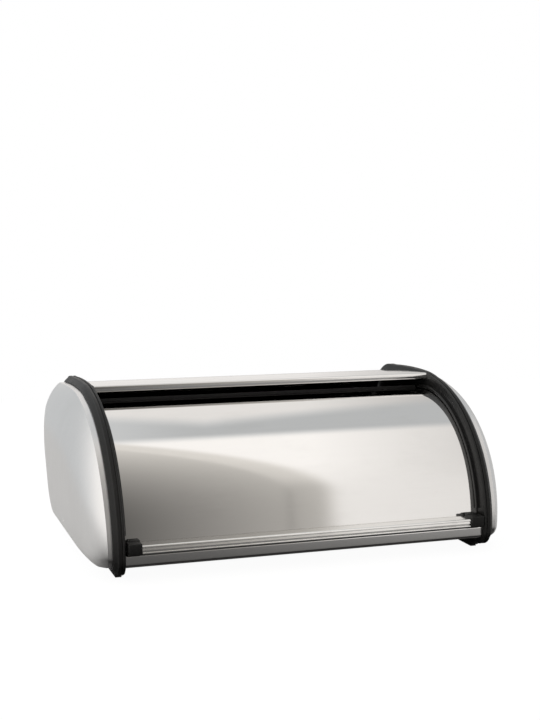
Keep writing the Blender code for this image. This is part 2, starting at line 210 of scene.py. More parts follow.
upper = sky_step(angle, 15.0, 65.0)
far_side = at_least(minus(lean, 0.34), 0.0)
fall_off = times(far_side, plus(0.6, times(upper, 1.7)))
bright = minus(plus(FRONT_GREY, times(upper, 0.12)), fall_off)
front = blend_values(sky, in_dark, bright, dark)

aside = minus(lean, 0.26)
bow = times(calc(sky, "ABSOLUTE", aside), 150.0)
strip_end = plus(minus(bow, times(aside, 40.0)), STRIP_END)
strip = times(sky_step(angle, 89.0, 99.0), sky_step(angle, strip_end, plus(strip_end, 20.0), 1.0, 0.0))
strip_grey = sky_step(lean, 0.17, 0.26, 0.56, 0.465)
ceiling = minus(CEILING_GREY, times(far_side, 2.6))
panels = blend_values(sky, sky_step(angle, 86.0, 126.0), front, ceiling)
panels = blend_values(sky, strip, panels, strip_grey)
print("front panel, dark panel and overhead strip placed")

# %% [markdown]
# The domes on the ends look out to the sides. On the left there is a bright warm panel towards
# the front and a cooler, dimmer one behind; on the right one even grey panel.

# %% World: the side panels and the white backdrop
toward_front = sky_step(ahead, 0.84, -0.10)
left_wall = plus(0.52, times(toward_front, 0.40))
panels = blend_values(sky, sky_step(lean, 0.10, -0.25), panels, left_wall)
panels = blend_values(sky, sky_step(lean, 0.46, 0.70), panels, RIGHT_GREY)

warm = (1.0, 0.972, 0.945)
amber = (1.0, 0.958, 0.900)
cool = (0.972, 0.990, 1.0)
tint = blend_colours(sky, strip, blend_colours(sky, in_dark, warm, amber), cool)
side_tint = blend_colours(sky, toward_front, cool, warm)
tint = blend_colours(sky, sky_step(lean, 0.10, -0.25), tint, side_tint)

studio_light = sky.nodes.new("ShaderNodeBackground")
sky.links.new(tint, studio_light.inputs["Color"])
sky.links.new(calc(sky, "DIVIDE", panels, STEEL_SHARE), studio_light.inputs["Strength"])
backdrop = sky.nodes.new("ShaderNodeBackground")
backdrop.inputs["Color"].default_value = (1.0, 1.0, 1.0, 1.0)
seen_directly = sky.nodes.new("ShaderNodeLightPath")
either = sky.nodes.new("ShaderNodeMixShader")
sky.links.new(seen_directly.outputs["Is Camera Ray"], either.inputs[0])
sky.links.new(studio_light.outputs[0], either.inputs[1])
sky.links.new(backdrop.outputs[0], either.inputs[2])
sky_out = sky.nodes.new("ShaderNodeOutputWorld")
sky.links.new(either.outputs[0], sky_out.inputs["Surface"])
scene.view_settings.view_transform = "Standard"
print("world nodes:", len(sky.nodes))

# %% [markdown]
# The floor is a plain white sheet with the faintest shadow under the box. Polished steel would
# mirror a white floor and lose its shape, so for reflections alone the floor carries painted shade:
# grey in front of the box, as a dark card laid before the lens would look, and a painted shadow at its
# front edge.

# %% Floor
bpy.ops.mesh.primitive_plane_add(size=2.2)
floor = bpy.context.active_object
floor.name = "floor"
paper = bpy.data.materials.new("white_floor")
paper.use_nodes = True
sheet = paper.node_tree
sheet.nodes.clear()
where = sheet.nodes.new("ShaderNodeTexCoord")
floor_xyz = sheet.nodes.new("ShaderNodeSeparateXYZ")
sheet.links.new(where.outputs["Object"], floor_xyz.inputs[0])
# Seen only in reflections: painted shade on the floor in front of the box, darker to the left.
in_front = step_between(sheet, floor_xyz.outputs["Y"], -0.05, -0.16)
not_beside = step_between(sheet, floor_xyz.outputs["X"], -0.40, -0.29)
painted_shade_area = calc(sheet, "MULTIPLY", in_front, not_beside)
painted_shade_grey = step_between(sheet, floor_xyz.outputs["X"], -0.22, 0.30, 0.13, 0.38)
# Painted shadow: nearly black right at the box's front edge, where the lip's lower bend looks down.
painted_shadow_at_box = step_between(sheet, floor_xyz.outputs["Y"], -0.190, -0.155)
painted_shade_grey = blend_values(sheet, painted_shadow_at_box, painted_shade_grey, 0.02)
seen_grey = blend_values(sheet, painted_shade_area, 0.80, painted_shade_grey)
mirrored = sheet.nodes.new("ShaderNodeBsdfDiffuse")
sheet.links.new(seen_grey, mirrored.inputs["Color"])
glow = sheet.nodes.new("ShaderNodeEmission")
glow.inputs["Strength"].default_value = 0.955
thin_shade = sheet.nodes.new("ShaderNodeBsdfDiffuse")
thin_shade.inputs["Color"].default_value = (0.09, 0.09, 0.09, 1.0)
lit_paper = sheet.nodes.new("ShaderNodeAddShader")
sheet.links.new(glow.outputs[0], lit_paper.inputs[0])
sheet.links.new(thin_shade.outputs[0], lit_paper.inputs[1])
floor_ray = sheet.nodes.new("ShaderNodeLightPath")
floor_mix = sheet.nodes.new("ShaderNodeMixShader")
sheet.links.new(floor_ray.outputs["Is Camera Ray"], floor_mix.inputs[0])
sheet.links.new(mirrored.outputs[0], floor_mix.inputs[1])
sheet.links.new(lit_paper.outputs[0], floor_mix.inputs[2])
floor_out = sheet.nodes.new("ShaderNodeOutputMaterial")
sheet.links.new(floor_mix.outputs[0], floor_out.inputs["Surface"])
floor.data.materials.append(paper)
print("floor", tuple(floor.dimensions))

# %% [markdown]
# The camera stands to the left of the box and a little above it, about 1.3 m away, with a
# longish lens. It is kept level in roll, and a vertical shift lets the box sit low in the frame.

# %% Camera
VIEW_ALONG = Vector((0.30833, 0.93113, -0.19475))
VIEW_DISTANCE = 1.3104
aim = Vector((0.0027, AXIS_Y, 0.0692))
lens = bpy.data.cameras.new("camera")
lens.lens = 61.85
lens.sensor_width = 36.0
lens.shift_y = 0.1528
camera = bpy.data.objects.new("camera", lens)
scene.collection.objects.link(camera)
camera.location = aim - VIEW_ALONG.normalized() * VIEW_DISTANCE
camera.rotation_mode = "QUATERNION"
camera.rotation_quaternion = VIEW_ALONG.to_track_quat("-Z", "Y")
scene.camera = camera
print("camera at", [round(c, 3) for c in camera.location])

# %% [markdown]
# ## Finishes
# Four small effects are shared between the finishes, so each is a node group with named
# sockets: fine lines left by polishing or extrusion, soft handling marks, moulded grain, and
# edges worn a little brighter, which on the black plastic is also a painted highlight. Each material then
# sets its own values.

# %% Node group helpers
def new_group(name, inputs, outputs):
    """An empty shader group; inputs are (name, kind, default), outputs are (name, kind)."""
    group = bpy.data.node_groups.new(name, "ShaderNodeTree")
    for label, kind, default in inputs:
        socket = group.interface.new_socket(label, in_out="INPUT", socket_type=kind)
        if default is not None:
            socket.default_value = default
    for label, kind in outputs:
        group.interface.new_socket(label, in_out="OUTPUT", socket_type=kind)
    given, result = group.nodes.new("NodeGroupInput"), group.nodes.new("NodeGroupOutput")
    return group, given.outputs, result.inputs


def noise(tree, vector, scale, detail=2.0, roughness=0.5):
    """A noise texture's value; scale is a number or a socket."""
    node = tree.nodes.new("ShaderNodeTexNoise")
    node.inputs["Detail"].default_value = detail
    node.inputs["Roughness"].default_value = roughness
    tree.links.new(vector, node.inputs["Vector"])
    feed(tree, node.inputs["Scale"], scale)
    return node.outputs[0]


def stretched(tree, vector, stretch):
    """The vector with each of its parts scaled."""
    node = tree.nodes.new("ShaderNodeVectorMath")
    node.operation = "MULTIPLY"
    tree.links.new(vector, node.inputs[0])
    feed(tree, node.inputs[1], stretch)
    return node.outputs[0]


# %% [markdown]
# Polishing and extruding both leave lines that are long one way and very fine the other. Noise
# does this when its space is squeezed along the line's direction. Handling marks are the
# opposite: broad and soft, and only noticed where the reflection turns slightly milky.

# %% Groups: fine lines and handling marks
VECTOR, FLOAT = "NodeSocketVector", "NodeSocketFloat"

fine_lines, given, result = new_group(
    "fine_lines",
    [("Position", VECTOR, None), ("Run", VECTOR, (0.02, 1.0, 1.0)), ("Fineness", FLOAT, 900.0)],
    [("Height", FLOAT), ("Mask", FLOAT)])
along_run = stretched(fine_lines, given["Position"], given["Run"])
hair = noise(fine_lines, along_run, given["Fineness"], 3.0, 0.6)
broad = noise(fine_lines, along_run, calc(fine_lines, "MULTIPLY", given["Fineness"], 0.13), 2.0)
fine_lines.links.new(blend_values(fine_lines, 0.35, hair, broad), result["Height"])
fine_lines.links.new(step_between(fine_lines, hair, 0.62, 0.78), result["Mask"])

handling_marks, given, result = new_group(
    "handling_marks",
    [("Position", VECTOR, None), ("Size", FLOAT, 0.05), ("Spread", FLOAT, 0.5)],
    [("Mask", FLOAT)])
patch_scale = calc(handling_marks, "DIVIDE", 1.0, given["Size"])
patch = noise(handling_marks, given["Position"], patch_scale, 4.0, 0.6)
wipe_space = stretched(handling_marks, given["Position"], (0.35, 1.0, 1.0))
wipe_scale = calc(handling_marks, "DIVIDE", 5.0, given["Size"])
wipe = noise(handling_marks, wipe_space, wipe_scale, 3.0, 0.55)
marks = calc(handling_marks, "MULTIPLY", step_between(handling_marks, patch, 0.42, 0.70),
             step_between(handling_marks, wipe, 0.35, 0.75))
spread_marks = calc(handling_marks, "MULTIPLY", marks, given["Spread"])
handling_marks.links.new(spread_marks, result["Mask"])
print("groups:", fine_lines.name, handling_marks.name)

# %% [markdown]
# Moulded plastic copies the spark-eroded texture of its tool: small rounded pits. Its edges get
# rubbed smooth and look lighter, and that lighter edge is also a painted highlight. A bevelled normal finds
# those edges: where it differs from the true one, an edge is near.

# %% Groups: moulded grain and worn edges
moulded_grain, given, result = new_group(
    "moulded_grain",
    [("Position", VECTOR, None), ("Pit Size", FLOAT, 0.0006)],
    [("Height", FLOAT), ("Mask", FLOAT)])
pit_scale = calc(moulded_grain, "DIVIDE", 1.0, given["Pit Size"])
pits = moulded_grain.nodes.new("ShaderNodeTexVoronoi")
pits.feature = "SMOOTH_F1"
moulded_grain.links.new(given["Position"], pits.inputs["Vector"])
moulded_grain.links.new(pit_scale, pits.inputs["Scale"])
cloud = noise(moulded_grain, given["Position"], calc(moulded_grain, "MULTIPLY", pit_scale, 0.4), 3.0)
grain_height = blend_values(moulded_grain, 0.4, pits.outputs["Distance"], cloud)
moulded_grain.links.new(grain_height, result["Height"])
moulded_grain.links.new(step_between(moulded_grain, cloud, 0.35, 0.70), result["Mask"])

worn_edges, given, result = new_group(
    "worn_edges",
    [("Position", VECTOR, None), ("Width", FLOAT, 0.0006), ("Wear", FLOAT, 1.0)],
    [("Mask", FLOAT)])
rounded = worn_edges.nodes.new("ShaderNodeBevel")
rounded.samples = 4
worn_edges.links.new(given["Width"], rounded.inputs["Radius"])
true_face = worn_edges.nodes.new("ShaderNodeNewGeometry")
alike = worn_edges.nodes.new("ShaderNodeVectorMath")
alike.operation = "DOT_PRODUCT"
worn_edges.links.new(rounded.outputs[0], alike.inputs[0])
worn_edges.links.new(true_face.outputs["Normal"], alike.inputs[1])
near_edge = step_between(worn_edges, alike.outputs["Value"], 0.995, 0.90)
blotches = noise(worn_edges, given["Position"], 160.0, 3.0)
patchy = step_between(worn_edges, blotches, 0.30, 0.65, 0.35, 1.0)
worn = calc(worn_edges, "MULTIPLY", calc(worn_edges, "MULTIPLY", near_edge, patchy), given["Wear"])
worn_edges.links.new(worn, result["Mask"])
print("groups:", moulded_grain.name, worn_edges.name)

# %% [markdown]
# A finish starts from one Principled shader. The helpers below place a group in a material,
# feed it the object's own coordinates (metres, the same on every piece) and add the bump.

# %% Material helpers
def new_finish(name, metallic):
    finish = bpy.data.materials.new(name)
    finish.use_nodes = True
    tree = finish.node_tree
    shader = tree.nodes["Principled BSDF"]
    shader.inputs["Metallic"].default_value = metallic
    place = tree.nodes.new("ShaderNodeTexCoord").outputs["Object"]
    return finish, tree, shader, place


def use_group(tree, group, place, **values):
    """Place a shared effect, give its outputs; value names have underscores for spaces."""
    node = tree.nodes.new("ShaderNodeGroup")
    node.node_tree = group
    tree.links.new(place, node.inputs["Position"])
    for label, value in values.items():
        node.inputs[label.replace("_", " ")].default_value = value
    return node.outputs


def add_bump(tree, shader, height, depth):
    """Bump of the given depth in metres."""
    bump = tree.nodes.new("ShaderNodeBump")
    bump.inputs["Strength"].default_value = 1.0
    bump.inputs["Distance"].default_value = depth
    tree.links.new(height, bump.inputs["Height"])
    tree.links.new(bump.outputs["Normal"], shader.inputs["Normal"])


def drive(tree, shader, socket, value):
    tree.links.new(value, shader.inputs[socket])


# %% [markdown]
# The lid and the body are bright-polished stainless. Polishing lines run across the box, too
# fine to see one by one; they only draw the reflections out a little. Hand marks make soft
# patches that are a touch rougher. Folded and cut edges are rubbed and look slightly duller.

# %% Polished steel
def polished_steel(name, roughness, run, line_depth):
    finish, tree, shader, place = new_finish(name, 1.0)
    lines = use_group(tree, fine_lines, place, Run=run, Fineness=1400.0)
    marks_on = use_group(tree, handling_marks, place, Size=0.07, Spread=0.6)
    wear = use_group(tree, worn_edges, place, Width=0.0005, Wear=0.6)
    clean = blend_colours(tree, lines["Height"], (0.870, 0.862, 0.850), (0.905, 0.898, 0.886))
    touched = blend_colours(tree, marks_on["Mask"], clean, (0.840, 0.832, 0.818))
    rubbed = blend_colours(tree, wear["Mask"], touched, (0.74, 0.735, 0.725))
    drive(tree, shader, "Base Color", rubbed)
    rough = blend_values(tree, lines["Mask"], roughness, roughness + 0.035)
    rough = blend_values(tree, marks_on["Mask"], rough, roughness + 0.050)
    drive(tree, shader, "Roughness", blend_values(tree, wear["Mask"], rough, 0.30))
    add_bump(tree, shader, lines["Height"], line_depth)
    return finish


lid_steel = polished_steel("polished_lid_steel", 0.050, (0.015, 1.0, 1.0), 0.0000006)
body_steel = polished_steel("polished_body_steel", 0.110, (0.015, 1.0, 1.0), 0.0000012)
print("made", lid_steel.name, body_steel.name)

# %% [markdown]
# The end domes are satin: blasted or brushed until they give back only soft light. Their grain
# is short and runs up and down the dome. The domes have a warm-to-cool drift in their colour
# that comes from the light, so the steel itself stays neutral.

# %% Satin steel
satin_steel, tree, shader, place = new_finish("satin_cap_steel", 1.0)
grain = use_group(tree, fine_lines, place, Run=(1.0, 1.0, 0.12), Fineness=1100.0)
rubs = use_group(tree, handling_marks, place, Size=0.12, Spread=0.6)
wear = use_group(tree, worn_edges, place, Width=0.0006, Wear=0.8)
tone = blend_colours(tree, grain["Height"], (0.80, 0.80, 0.798), (0.90, 0.90, 0.897))
tone = blend_colours(tree, rubs["Mask"], tone, (0.83, 0.83, 0.825))
drive(tree, shader, "Base Color", blend_colours(tree, wear["Mask"], tone, (0.93, 0.93, 0.925)))
soft = blend_values(tree, grain["Mask"], 0.30, 0.36)
soft = blend_values(tree, rubs["Mask"], soft, 0.27)
drive(tree, shader, "Roughness", blend_values(tree, wear["Mask"], soft, 0.18))
add_bump(tree, shader, grain["Height"], 0.000004)
print("made", satin_steel.name)

# %% [markdown]
# The side frames, the rail's end pieces and the glides are black moulded plastic: nearly black,
# slightly warm, with a satin grain and smoother edges painted lighter, partly as wear and partly as a
# painted highlight along edges and ridges.

# %% Black plastic
def black_plastic(name, pit_size, roughness, edge_wear_and_highlight):
    finish, tree, shader, place = new_finish(name, 0.0)
    pits_in = use_group(tree, moulded_grain, place, Pit_Size=pit_size)
    wear = use_group(tree, worn_edges, place, Width=0.0007, Wear=edge_wear_and_highlight)
    dust = use_group(tree, handling_marks, place, Size=0.03, Spread=0.7)
    shader.inputs["Specular IOR Level"].default_value = 0.34
    black = blend_colours(tree, pits_in["Mask"], (0.006, 0.006, 0.006), (0.011, 0.011, 0.0105))
    black = blend_colours(tree, dust["Mask"], black, (0.018, 0.018, 0.017))
    # Edges painted lighter: part wear, part a painted highlight along edges and ridges.
    drive(tree, shader, "Base Color", blend_colours(tree, wear["Mask"], black, (0.060, 0.060, 0.057)))
    rough = blend_values(tree, pits_in["Mask"], roughness, roughness + 0.10)
    rough = blend_values(tree, dust["Mask"], rough, roughness + 0.16)
    drive(tree, shader, "Roughness", blend_values(tree, wear["Mask"], rough, roughness - 0.06))
    add_bump(tree, shader, pits_in["Height"], 0.000030)
    return finish


frame_plastic = black_plastic("frame_plastic", 0.0007, 0.40, 0.6)
end_plastic = black_plastic("rail_end_plastic", 0.0005, 0.46, 0.8)
print("made", frame_plastic.name, end_plastic.name)

# %% [markdown]
# The rail is an aluminium extrusion with a clear anodised skin: fine die lines run its whole
# length, and its crests are rubbed brighter by fingers. Screws and rivets are zinc-plated
# steel, slightly bluish and mottled. The foot pads are rubber that has picked up a little dust.

# %% Aluminium, zinc and rubber
rail_aluminium, tree, shader, place = new_finish("anodised_rail", 1.0)
die_lines = use_group(tree, fine_lines, place, Run=(0.006, 1.0, 1.0), Fineness=2200.0)
wear = use_group(tree, worn_edges, place, Width=0.0005, Wear=0.7)
fingers = use_group(tree, handling_marks, place, Size=0.03, Spread=0.7)
skin = blend_colours(tree, die_lines["Height"], (0.84, 0.835, 0.82), (0.93, 0.925, 0.91))
skin = blend_colours(tree, fingers["Mask"], skin, (0.80, 0.795, 0.78))
drive(tree, shader, "Base Color", blend_colours(tree, wear["Mask"], skin, (0.95, 0.945, 0.935)))
lined = blend_values(tree, die_lines["Mask"], 0.15, 0.24)
drive(tree, shader, "Roughness", blend_values(tree, fingers["Mask"], lined, 0.22))
add_bump(tree, shader, die_lines["Height"], 0.0000025)

zinc_steel, tree, shader, place = new_finish("zinc_plated_steel", 1.0)
mottle = use_group(tree, moulded_grain, place, Pit_Size=0.0004)
wear = use_group(tree, worn_edges, place, Width=0.0003, Wear=0.9)
plate = blend_colours(tree, mottle["Mask"], (0.60, 0.61, 0.62), (0.72, 0.725, 0.73))
drive(tree, shader, "Base Color", blend_colours(tree, wear["Mask"], plate, (0.85, 0.85, 0.84)))
drive(tree, shader, "Roughness", blend_values(tree, mottle["Mask"], 0.28, 0.42))
add_bump(tree, shader, mottle["Height"], 0.000008)

foot_rubber, tree, shader, place = new_finish("foot_rubber", 0.0)
skin_grain = use_group(tree, moulded_grain, place, Pit_Size=0.0005)
dusty = use_group(tree, handling_marks, place, Size=0.008, Spread=1.0)
wear = use_group(tree, worn_edges, place, Width=0.0004, Wear=0.8)
matt = blend_colours(tree, skin_grain["Mask"], (0.020, 0.020, 0.020), (0.032, 0.032, 0.031))
matt = blend_colours(tree, dusty["Mask"], matt, (0.075, 0.073, 0.070))
drive(tree, shader, "Base Color", blend_colours(tree, wear["Mask"], matt, (0.060, 0.059, 0.057)))
drive(tree, shader, "Roughness", blend_values(tree, dusty["Mask"], 0.74, 0.92))
add_bump(tree, shader, skin_grain["Height"], 0.000040)
print("made", rail_aluminium.name, zinc_steel.name, foot_rubber.name)

# %% [markdown]
# ## Shaping tools
# Most pieces are one outline pulled along a path. An outline is a closed ring of points in the
# plane across the box. Pulling its edges outwards makes the next ring, which is then set to
# the next outline: the operator makes the faces, and the outlines only say where the ring goes.

# %% Making pieces
def new_piece(name, shape, finish, body, slot, *nodes, smooth=35.0):
    """Link a bmesh as one finished piece that stands for the CAD nodes named."""
    mesh = bpy.data.meshes.new(name)
    shape.to_mesh(mesh)
    shape.free()
    mesh.shade_smooth()
    mesh.set_sharp_from_angle(angle=math.radians(smooth))
    mesh.materials.append(finish)
    piece = bpy.data.objects.new(name, mesh)
    scene.collection.objects.link(piece)
    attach(piece, body)
    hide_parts(*nodes)
    print(f"{name}: {len(mesh.polygons)} faces")


def cut_or_join(base, tools, operation, wall=0.0, offset=-1.0):
    """Give the base a wall if asked, then cut or join the tools, and return the merged shape."""
    group = []
    for number, shape in enumerate([base] + list(tools)):
        mesh = bpy.data.meshes.new("working")
        shape.to_mesh(mesh)
        shape.free()
        thing = bpy.data.objects.new(f"working_{number}", mesh)
        scene.collection.objects.link(thing)
        group.append(thing)
    host = group[0]
    if wall:
        sheet_wall = host.modifiers.new("wall", "SOLIDIFY")
        sheet_wall.thickness = wall
        sheet_wall.offset = offset
        sheet_wall.use_even_offset = True
    for tool in group[1:]:
        step = host.modifiers.new("step", "BOOLEAN")
        step.operation = operation
        step.solver = "EXACT"
        step.object = tool
    graph = bpy.context.evaluated_depsgraph_get()
    mesh = bpy.data.meshes.new_from_object(host.evaluated_get(graph))
    merged = bmesh.new()
    merged.from_mesh(mesh)
    for thing in group:
        bpy.data.objects.remove(thing, do_unlink=True)
    bpy.data.meshes.remove(mesh)
    return merged


# %% [markdown]
# Four primitives cover the rest: a ring that is pulled on, a flat outline pushed into a solid,
# an outline spun about the lid's axis, and a block with rounded edges.

# %% Rings, solids, spins and blocks
def first_ring(shape, outline, x):
    """A closed ring of vertices that remember their place in the outline."""
    order = shape.verts.layers.int.new("order")
    ring = []
    for number, (y, z) in enumerate(outline):
        corner = shape.verts.new((x, y + AXIS_Y, z + AXIS_Z))
        corner[order] = number
        ring.append(corner)
    return [shape.edges.new(pair) for pair in zip(ring, ring[1:] + ring[:1])]


def pull_ring(shape, edges, outline, x):
    """Pull the ring's edges into new faces and set the new ring to another outline."""
    grown = bmesh.ops.extrude_edge_only(shape, edges=edges)["geom"]
    order = shape.verts.layers.int["order"]
    fresh = {item for item in grown if isinstance(item, bmesh.types.BMVert)}
    for corner in fresh:
        y, z = outline[corner[order]]
        corner.co = (x, y + AXIS_Y, z + AXIS_Z)
    return [item for item in grown
            if isinstance(item, bmesh.types.BMEdge) and set(item.verts) <= fresh]


def face_outwards(shape):
    bmesh.ops.recalc_face_normals(shape, faces=shape.faces)


def round_edges(shape, radius, segments=3):
    bmesh.ops.bevel(shape, geom=list(shape.edges), offset=radius, segments=segments, profile=0.5,
                    affect="EDGES", clamp_overlap=True, material=-1)


def pushed(outline, x0, x1, edge=0.0):
    """A flat outline in (y, z) pushed along X into a solid, its edges rounded if asked."""
    shape = bmesh.new()
    face = shape.faces.new([shape.verts.new((x0, y + AXIS_Y, z + AXIS_Z)) for y, z in outline])
    grown = bmesh.ops.extrude_face_region(shape, geom=[face])["geom"]
    moved = [item for item in grown if isinstance(item, bmesh.types.BMVert)]
    bmesh.ops.translate(shape, verts=moved, vec=(x1 - x0, 0.0, 0.0))
    face_outwards(shape)
    if edge:
        round_edges(shape, edge)
    return shape


def spun(outline, start, end, steps):
    """A flat outline of (x, radius) pairs spun about the lid's axis, degrees up from the front."""
    shape = bmesh.new()
    face = shape.faces.new([shape.verts.new((x, AXIS_Y - radius, AXIS_Z)) for x, radius in outline])
    about = (0.0, AXIS_Y, AXIS_Z)
    to_start = Matrix.Rotation(-math.radians(start), 3, "X")
    bmesh.ops.rotate(shape, verts=shape.verts, cent=about, matrix=to_start)
    bmesh.ops.spin(shape, geom=[face], cent=about, axis=(-1.0, 0.0, 0.0),
                   angle=math.radians(end - start), steps=steps, use_merge=False)
    face_outwards(shape)
    return shape


def block(low, high, radius, segments=3):
    """A box between two corners with rounded edges."""
    shape = bmesh.new()
    bmesh.ops.create_cube(shape, size=1.0)
    low, high = Vector(low), Vector(high)
    bmesh.ops.scale(shape, vec=high - low, verts=shape.verts)
    bmesh.ops.translate(shape, vec=(low + high) / 2, verts=shape.verts)
    round_edges(shape, radius, segments)
    return shape


print("shaping tools ready")

# %% [markdown]
# ## The D-shaped side
# Seen from the end, the box is a D lying on its back: a front that rises in a long curve, a
# flat top, and rounded corners behind. One function draws it, drawn in by any amount, so rims,
# grooves, skirt, opening and dome all follow the same line.

# %% Outline of the side
FRONT_RADIUS = 0.0150
TOP_RADIUS = 0.0420
BACK_RADIUS = 0.0480
CURVE_BACK = 0.0143                  # middle of the front curve, behind the axis
CURVE_DEPTH = 0.1564
RISE = 0.0022                        # the flat top rises by this much
RISE_Y = 0.0400                      # most of all here, and no longer this far from it
RISE_SPAN = 0.0550
TOP_STEPS = 18                       # the flat top is drawn in this many steps


def arc(middle_y, middle_z, radius, start, end, count):
    """Points on a circle; degrees from +Y towards +Z."""
    turns = [math.radians(start + (end - start) * i / (count - 1)) for i in range(count)]
    return [(middle_y + radius * math.cos(t), middle_z + radius * math.sin(t)) for t in turns]


def top_rise(y, level):
    """How much the rim's top rises at y; level is 1 at the top and the rise fades below it."""
    shape = 1.0 - ((y - RISE_Y) / RISE_SPAN) ** 2
    return RISE * max(shape, 0.0) * max(level, 0.0) ** 8


def side_outline(inset=0.0, bottom=0.0, soften=0.0, points=61):
    """The D of the side, drawn in by inset and along its underside by bottom; soften rounds it."""
    low = BOTTOM_Z + bottom
    depth, height, back = CURVE_DEPTH - inset, TOP_Z - inset, BACK_Y - inset
    corner = max(FRONT_RADIUS - 0.5 * inset, 0.004) + 1.5 * soften
    top_corner = max(TOP_RADIUS - inset, 0.012) + soften
    back_corner = max(BACK_RADIUS - inset, 0.012) + soften
    start = math.asin((low + corner) / height)
    corner_points = points // 3

    line = []
    for i in range(points):
        turn = start + (math.pi / 2 - start) * i / (points - 1)
        line.append((CURVE_BACK - depth * math.cos(turn), height * math.sin(turn)))
    top_start, top_end = line[-1][0], back - top_corner
    run = top_end - top_start
    line += [(top_start + run * i / TOP_STEPS, height) for i in range(1, TOP_STEPS)]
    line += arc(top_end, height - top_corner, top_corner, 90, 0, corner_points)
    line += arc(back - back_corner, low + back_corner, back_corner, 0, -90, corner_points)
    line += arc(line[0][0] + corner, low + corner, corner, -90, -180, corner_points)[:-1]
    return [(y, z + top_rise(y, z / height)) for y, z in line]


print("points round the side:", len(side_outline()))

# %% [markdown]
# ## Side frames
# Each frame is one moulding. Round its rim run two ridges with a thin groove between them;
# beyond them a sloping skirt hides the edge of the dome. Two ribs on the inner face hold the
# lid's edge, and the lower corners run down into feet. The ring is pulled through the section
# of the rim step by step, then the ribs and the feet are joined on.

# %% The rim's section
WEB_OUT = RIM_OUT - 0.0042
OPENING = 0.0330
OPENING_BOTTOM = 0.0130

# (distance from the rim's inner face, inset of the outline)
RIM_SECTION = (
    (0.0000, 0.0012), (0.0003, 0.0004), (0.0009, 0.0000), (0.0020, 0.0000), (0.0026, 0.0003),
    (0.0029, 0.0013), (0.0035, 0.0013), (0.0038, 0.0003), (0.0046, 0.0000), (0.0064, 0.0000),
    (0.0071, 0.0003), (0.0075, 0.0011), (0.0088, 0.0022), (0.0104, 0.0036), (0.0112, 0.0046),
    (0.0114, 0.0054), (0.0112, 0.0062), (0.0106, 0.0065),
)


def frame_shell(sign):
    """Rim, skirt and web as one closed ring of constant section."""
    shape = bmesh.new()
    opening = side_outline(OPENING, OPENING_BOTTOM)
    edges = first_ring(shape, opening, sign * RIM_IN)
    for step, inset in RIM_SECTION:
        edges = pull_ring(shape, edges, side_outline(inset, inset), sign * (RIM_IN + step))
    last_inset = RIM_SECTION[-1][1]
    edges = pull_ring(shape, edges, side_outline(last_inset, last_inset), sign * WEB_OUT)
    edges = pull_ring(shape, edges, opening, sign * WEB_OUT)
    pull_ring(shape, edges, opening, sign * RIM_IN)
    bmesh.ops.remove_doubles(shape, verts=shape.verts, dist=0.000001)
    face_outwards(shape)
    return shape


# %% [markdown]
# The ribs are arcs about the lid's axis, so each is a small rounded rectangle spun about it.
# A foot is a lobe that leaves the front of the rim in a slope, as the moulded frame does.

# %% Ribs and feet
RIB = 0.0032
PLAY = 0.0008
LID_WALL = 0.0010
RIB_REACH = 0.0030
RIB_START = 9.5                      # degrees up from the front
RIB_END = 177.0
SOLE_IN = RIM_IN - 0.0020
SHELF_IN = RIM_IN - 0.0076
SHELF_LOW = -0.0122                  # its faces, from the axis
SHELF_HIGH = -0.0080
SHELF_BEYOND = 0.0040                # past the foot pad, in front and behind
FOOT_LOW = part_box("right_front_foot_pad")[1].z - AXIS_Z + 0.0003


def rib(sign, inner, outer):
    """One groove wall: a rectangle with softened inner corners, spun about the axis."""
    tip = sign * (RIM_IN - RIB_REACH)
    soft = 0.0005
    root = sign * (RIM_IN + 0.0010)
    outline = [(root, inner), (tip + sign * soft, inner), (tip, inner + soft),
               (tip, outer - soft), (tip + sign * soft, outer), (root, outer)]
    return spun(outline, RIB_START, RIB_END, 96)


def foot(sign, tip, tail):
    """A lobe under the rim: steep at its tip, flat below, long and gradual towards its tail."""
    run = 1.0 if tail > tip else -1.0
    lower = [(tip, BOTTOM_Z + 0.0060), (tip + run * 0.0008, BOTTOM_Z + 0.0030),
             (tip + run * 0.0060, BOTTOM_Z - 0.0010), (tip + run * 0.0120, FOOT_LOW),
             (tail - run * 0.0150, FOOT_LOW), (tail - run * 0.0040, BOTTOM_Z - 0.0012),
             (tail, BOTTOM_Z + 0.0010), (tail, BOTTOM_Z + 0.0040)]
    return pushed(lower, sign * SOLE_IN, sign * (RIM_OUT - 0.0006), edge=0.0012)


def shelf(sign, low, high):
    """The thin ledge that reaches in under the body's floor and takes the rivet."""
    near, far = sorted((sign * SHELF_IN, sign * (RIM_IN + 0.0028)))
    front, rear = low.y - SHELF_BEYOND, high.y + SHELF_BEYOND
    return block((near, front, AXIS_Z + SHELF_LOW), (far, rear, AXIS_Z + SHELF_HIGH), 0.0006)


def make_side_frame(side, sign):
    shell = frame_shell(sign)
    above = (LID_RADIUS + PLAY, LID_RADIUS + PLAY + RIB)
    below = (LID_RADIUS - LID_WALL - PLAY - RIB, LID_RADIUS - LID_WALL - PLAY)
    front_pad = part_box(f"{side}_front_foot_pad")
    rear_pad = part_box(f"{side}_rear_foot_pad")
    front_foot = foot(sign, front_pad[0].y - AXIS_Y - 0.0130, front_pad[1].y - AXIS_Y + 0.0160)
    rear_foot = foot(sign, rear_pad[1].y - AXIS_Y + 0.0070, rear_pad[0].y - AXIS_Y - 0.0160)
    tools = [rib(sign, *above), rib(sign, *below), front_foot, rear_foot,
             shelf(sign, *front_pad), shelf(sign, *rear_pad)]
    shape = cut_or_join(shell, tools, "UNION")
    name = side + "_moulded_frame"
    new_piece(name, shape, frame_plastic, "root", "black_plastic", side + "_side_frame", smooth=32.0)


for side, sign in SIDES:
    make_side_frame(side, sign)

# %% [markdown]
# ## End domes
# A dome is pressed from thin sheet. From its edge behind the skirt it rises steeply and then
# flattens, a little fuller towards the top than the bottom. Rings of the same D, each further
# in and further out, give that swelling; the rise follows a rounded power curve.

